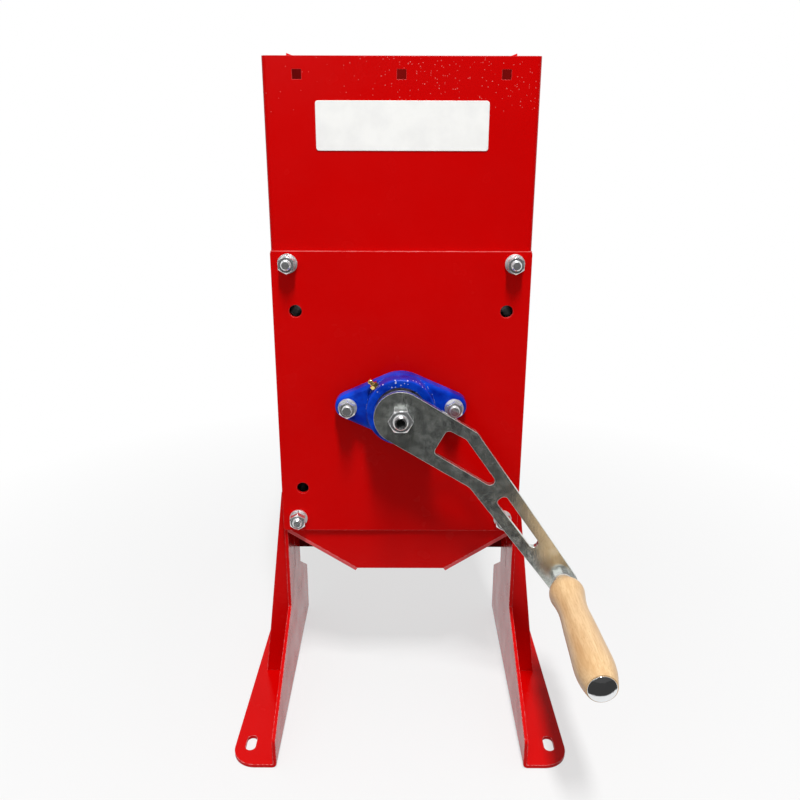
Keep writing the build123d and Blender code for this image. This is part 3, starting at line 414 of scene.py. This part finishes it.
def rounded_rectangle(width, height, radius, steps=8):
    points = []
    for sign_x, sign_z, start in ((1, 1, 0), (-1, 1, 90), (-1, -1, 180), (1, -1, 270)):
        for step in range(steps + 1):
            angle = math.radians(start + 90 * step / steps)
            points.append((sign_x * (width / 2 - radius) + radius * math.cos(angle),
                           sign_z * (height / 2 - radius) + radius * math.sin(angle)))
    return points


def stacked_loops(loops):
    """Points and faces of a closed solid through loops of equal length, capped at both ends."""
    count = len(loops[0])
    points = [point for loop in loops for point in loop]
    faces = []
    for level in range(len(loops) - 1):
        for i in range(count):
            j = (i + 1) % count
            below, above = level * count, (level + 1) * count
            faces.append((below + i, below + j, above + j, above + i))
    faces.append(tuple(reversed(range(count))))
    faces.append(tuple(range((len(loops) - 1) * count, len(loops) * count)))
    return points, faces


LABEL_WIDTH = 133.5 * MM
LABEL_HEIGHT = 36.5 * MM
LABEL_CENTRE = (0.6 * MM, 508.3 * MM)
LABEL_THICKNESS = 0.6 * MM
LABEL_EDGE = 0.25 * MM
LABEL_CORNER = 2.2 * MM


def label_plate():
    loops = []
    rises = ((0.0, 0.0), (0.0, LABEL_THICKNESS - LABEL_EDGE),
             (0.3 * LABEL_EDGE, LABEL_THICKNESS - 0.3 * LABEL_EDGE), (LABEL_EDGE, LABEL_THICKNESS))
    for inset, out in rises:
        outline = rounded_rectangle(LABEL_WIDTH - 2 * inset, LABEL_HEIGHT - 2 * inset, LABEL_CORNER - inset)
        loops.append([(LABEL_CENTRE[0] + x, -INNER_HALF - out, LABEL_CENTRE[1] + z) for x, z in outline])
    piece("label_plate", "body", *stacked_loops(loops), label_plastic(), smooth=False)


label_plate()


def turned_mesh(centre, profile, steps=48):
    """Points and faces of a solid turned about a line along Y; profile is (y, radius), back to front."""
    loops = [[(centre[0] + radius * math.cos(math.tau * i / steps), y,
               centre[1] + radius * math.sin(math.tau * i / steps)) for i in range(steps)]
             for y, radius in profile]
    return stacked_loops(loops)


def handle_axle():
    """The axle again, with a domed head in place of the plain dished one."""
    profile = [(AXLE_TAIL_END, AXLE_RADIUS - 0.5 * MM), (AXLE_TAIL_END - 0.5 * MM, AXLE_RADIUS),
               (HEAD_BACK, AXLE_RADIUS), (HEAD_BACK, HEAD_NECK), (HEAD_SEAT, HEAD_NECK),
               (HEAD_SEAT, HEAD_RADIUS - 0.2 * MM), (HEAD_SEAT - 0.2 * MM, HEAD_RADIUS)]
    for step in range(HEAD_STEPS + 1):
        radius = HEAD_RADIUS * (1 - step / HEAD_STEPS) ** 0.8
        beyond_flat = max(0.0, (radius - HEAD_FLAT) / (HEAD_RADIUS - HEAD_FLAT))
        drop = HEAD_ROUND * beyond_flat ** 1.8 + HEAD_SWELL * (radius / HEAD_RADIUS) ** 2
        profile.append((HEAD_FRONT + drop, max(radius, 0.05 * MM)))
    made = piece("handle_axle_domed", "crank", *turned_mesh(HANDLE_CENTRE, profile), chrome)
    for polygon in made.data.polygons:
        polygon.use_smooth = abs(polygon.normal.y) < 0.999 or polygon.center.y < HEAD_BACK - 1 * MM
    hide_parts("handle_axle")


handle_axle()


def thread(centre, start, end, radius, pitch, steps=24):
    """Points and faces of one helical ridge round a plain rod, from start to end along Y."""
    sign = 1 if end > start else -1
    turns = (abs(end - start) - 2 * RIDGE_HALF * pitch) / pitch
    count = max(2, round(turns * steps))
    points, faces = [], []
    for i in range(count + 1):
        angle = math.tau * i / steps
        fade = min(1.0, 4 * min(i, count - i) / steps)
        along = start + sign * pitch * (i / steps + RIDGE_HALF)
        for y, r in ((-RIDGE_HALF * pitch, radius - THREAD_SUNK), (0.0, radius + THREAD_PROUD * fade),
                     (RIDGE_HALF * pitch, radius - THREAD_SUNK)):
            points.append((centre[0] + r * math.cos(angle), along + y, centre[1] + r * math.sin(angle)))
    for i in range(count):
        for a, b in ((0, 1), (1, 2), (2, 0)):
            faces.append((3 * i + a, 3 * i + b, 3 * i + 3 + b, 3 * i + 3 + a))
    faces += [(0, 2, 1), (3 * count, 3 * count + 1, 3 * count + 2)]
    return points, faces


def threads(name, body, centres, *sizes):
    points, faces = [], []
    for centre in centres:
        more_points, more_faces = thread(centre, *sizes)
        faces += [tuple(len(points) + i for i in face) for face in more_faces]
        points += more_points
    piece(name, body, points, faces, zinc, smooth=False)


CORNERS = [(x, z) for x in (-TIE_X, TIE_X) for z in TIE_HEIGHTS]
STUDS = [(-FLANGE_BOLT_X, AXIS_HEIGHT), (FLANGE_BOLT_X, AXIS_HEIGHT)]
threads("tie_bolt_threads", "body", CORNERS, *TIE_THREAD, M8_RADIUS, M8_PITCH)
threads("front_stud_threads", "body", STUDS, *FRONT_STUD_THREAD, M8_RADIUS, M8_PITCH)
threads("rear_stud_threads", "body", STUDS, *REAR_STUD_THREAD, M8_RADIUS, M8_PITCH)
threads("shaft_end_thread", "crank", [(0.0, AXIS_HEIGHT)], *SHAFT_THREAD, M12_RADIUS, M12_PITCH)


# ---------------------------------------------------------------- floor, light and surroundings
FLOOR_HALF = 6.0
FLOOR_LEVEL = -0.4 * MM
FLOOR_GREY = (0.40, 0.40, 0.40)
SHADOW_REACH = (0.25, 0.75)     # from the floor's middle, where the shadow fades
SHADOW_SHARE = 0.23
GLOW_CUT = 1.60
LIT_FLOOR = (-0.31, -0.29)      # in reflections the floor is dark ahead of this
DARK_FLOOR = 0.05
BACKDROP_FROM, BACKDROP_TO = -0.35, 0.05    # in reflections, along Y of their direction
ROOM_LEVEL, BACKDROP_LEVEL = 0.08, 1.0
CEILING_FROM, CEILING_TO = 0.75, 0.95       # along Z of their direction
CEILING_LEVEL = 0.9
HORIZON_LIGHT, ZENITH_LIGHT = 0.30, 0.42
KEY_PLACE, KEY_AIM, KEY_SIZE, KEY_WATTS = (0.10, -1.08, 2.67), (0, -0.05, 0.28), (0.25, 0.70), 83
FILL_PLACE, FILL_AIM, FILL_SIZE, FILL_WATTS = (-0.8, -2.2, 1.2), (0, 0, 0.3), (1.2, 1.0), 5


def view_rays(tree):
    """1 for what the camera sees, also in reflections and through glass."""
    path = tree.nodes.new("ShaderNodeLightPath")
    total = path.outputs["Is Camera Ray"]
    for name in ("Is Glossy Ray", "Is Transmission Ray"):
        either = tree.nodes.new("ShaderNodeMath")
        either.operation = "MAXIMUM"
        tree.links.new(total, either.inputs[0])
        tree.links.new(path.outputs[name], either.inputs[1])
        total = either.outputs[0]
    return total


def stage_floor():
    s = Shader("stage_floor")
    seen = view_rays(s.tree)
    glossy = s.node("ShaderNodeLightPath", out=3)
    plain = s.node("ShaderNodeBsdfDiffuse", Color=FLOOR_GREY)
    from_middle = s.vector("LENGTH", s.vector("SUBTRACT", s.coords, (0.0, 0.05, 0.0)), out=1)
    near = s.band(from_middle, *SHADOW_REACH, 1.0, 0.0)
    share = s.math("MULTIPLY", s.math("MULTIPLY", near, s.math("SUBTRACT", 1.0, glossy)), SHADOW_SHARE)
    shaded = s.node("ShaderNodeBsdfDiffuse", Color=s.mix(share, (0.0, 0.0, 0.0), (1.0, 1.0, 1.0)))
    # in reflections alone the floor goes dark ahead of the object
    lit = s.band(s.axis(1), *LIT_FLOOR, DARK_FLOOR, 1.0)
    dim = s.math("MAXIMUM", lit, s.math("SUBTRACT", 1.0, glossy))
    unshaded = s.math("SUBTRACT", 1.0, s.math("MULTIPLY", share, GLOW_CUT))
    glow = s.node("ShaderNodeEmission", Color=(1.0, 1.0, 1.0), Strength=s.math("MULTIPLY", dim, unshaded))
    visible = s.node("ShaderNodeAddShader", i0=shaded, i1=glow)
    mixed = s.node("ShaderNodeMixShader", i0=seen, i1=plain, i2=visible)
    s.tree.links.new(mixed, s.output.inputs["Surface"])
    mesh = bpy.data.meshes.new("stage_floor")
    corners = [(x * FLOOR_HALF, y * FLOOR_HALF, FLOOR_LEVEL) for x, y in ((-1, -1), (1, -1), (1, 1), (-1, 1))]
    mesh.from_pydata(corners, [], [(0, 1, 2, 3)])
    mesh.materials.append(s.material)
    floor = bpy.data.objects.new("stage_floor", mesh)
    bpy.context.scene.collection.objects.link(floor)


def soft_box(name, place, aim, width, height, watts):
    light = bpy.data.lights.new(name, "AREA")
    light.shape = "RECTANGLE"
    light.size, light.size_y = width, height
    light.energy = watts
    lamp = bpy.data.objects.new(name, light)
    lamp.location = place
    lamp.rotation_euler = (Vector(aim) - Vector(place)).to_track_quat("-Z", "Y").to_euler()
    bpy.context.scene.collection.objects.link(lamp)


def surroundings(horizon, zenith):
    world = bpy.data.worlds.new("surroundings")
    world.use_nodes = True
    tree = world.node_tree
    tree.nodes.clear()

    def node(kind, out=0, settings=None, links=None, **values):
        made = tree.nodes.new(kind)
        for key, value in (settings or {}).items():
            setattr(made, key, value)
        for index, socket in (links or {}).items():
            tree.links.new(socket, made.inputs[index])
        for key, value in values.items():
            made.inputs[key].default_value = value
        return made.outputs[out]

    path = tree.nodes.new("ShaderNodeLightPath")
    direction = node("ShaderNodeTexCoord", out=0)
    parts = tree.nodes.new("ShaderNodeSeparateXYZ")
    tree.links.new(direction, parts.inputs[0])
    # reflections show a white backdrop behind and above, and a dim room on the operator's side
    behind = node("ShaderNodeMapRange", links={0: parts.outputs[1]}, **{
        "From Min": BACKDROP_FROM, "From Max": BACKDROP_TO, "To Min": ROOM_LEVEL, "To Max": BACKDROP_LEVEL})
    above = node("ShaderNodeMapRange", links={0: parts.outputs[2]}, **{
        "From Min": CEILING_FROM, "From Max": CEILING_TO, "To Min": 0.0, "To Max": CEILING_LEVEL})
    room = node("ShaderNodeMath", settings={"operation": "MAXIMUM"}, links={0: behind, 1: above})
    camera_or_room = node("ShaderNodeMath", settings={"operation": "MAXIMUM"},
                          links={0: path.outputs["Is Camera Ray"], 1: room})
    dome = node("ShaderNodeMapRange", links={0: parts.outputs[2]}, **{
        "From Min": 0.0, "From Max": 1.0, "To Min": horizon, "To Max": zenith})
    plain = node("ShaderNodeBackground", links={1: dome}, Color=(1.0, 1.0, 1.0, 1.0))
    seen = node("ShaderNodeBackground", links={1: camera_or_room}, Color=(1.0, 1.0, 1.0, 1.0))
    mix = node("ShaderNodeMixShader", links={0: view_rays(tree), 1: plain, 2: seen})
    output = tree.nodes.new("ShaderNodeOutputWorld")
    tree.links.new(mix, output.inputs["Surface"])
    bpy.context.scene.world = world


stage_floor()
surroundings(HORIZON_LIGHT, ZENITH_LIGHT)
soft_box("key", KEY_PLACE, KEY_AIM, *KEY_SIZE, KEY_WATTS)
soft_box("fill", FILL_PLACE, FILL_AIM, *FILL_SIZE, FILL_WATTS)

bpy.context.scene.view_settings.view_transform = "Standard"
